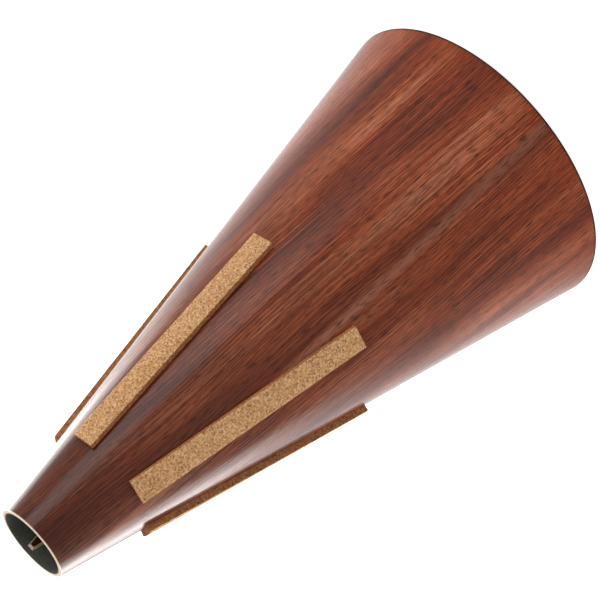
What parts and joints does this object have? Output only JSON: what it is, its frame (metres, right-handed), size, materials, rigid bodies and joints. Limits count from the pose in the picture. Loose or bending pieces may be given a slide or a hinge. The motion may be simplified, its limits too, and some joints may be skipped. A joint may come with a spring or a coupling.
{
  "type": "french horn straight mute",
  "caption": "Rolled wooden cone mute for a french horn, closed at its wide end, with cork strips that seat it in the bell.",
  "frame": {"origin": "centre of the closed wide end, on the face it stands on", "axes": "+Z along the cone's axis to the open mouth, -Y out of the plain front, opposite the seam"},
  "size_m": [0.134, 0.134, 0.245],
  "materials": {
    "veneer": "lacquered reddish-brown veneer, satin gloss",
    "core": "bare pale plywood core",
    "lining": "black fibre sheet, satin",
    "base_plywood": "bare birch plywood",
    "facing": "dark stained, lacquered",
    "cork": "pressed cork, cut and unsealed"
  },
  "bodies": {
    "root": {"outer_veneer": "veneer", "core_ply": "core", "inner_lining": "lining", "seam_lath": "core", "seam_lath_veneer": "veneer", "base_disc": "base_plywood", "base_facing": "facing", "cork_strip_front_right": "cork", "cork_strip_front_left": "cork", "cork_strip_side_left": "cork", "cork_strip_side_right": "cork", "cork_strip_back": "cork"}
  },
  "joints": []
}
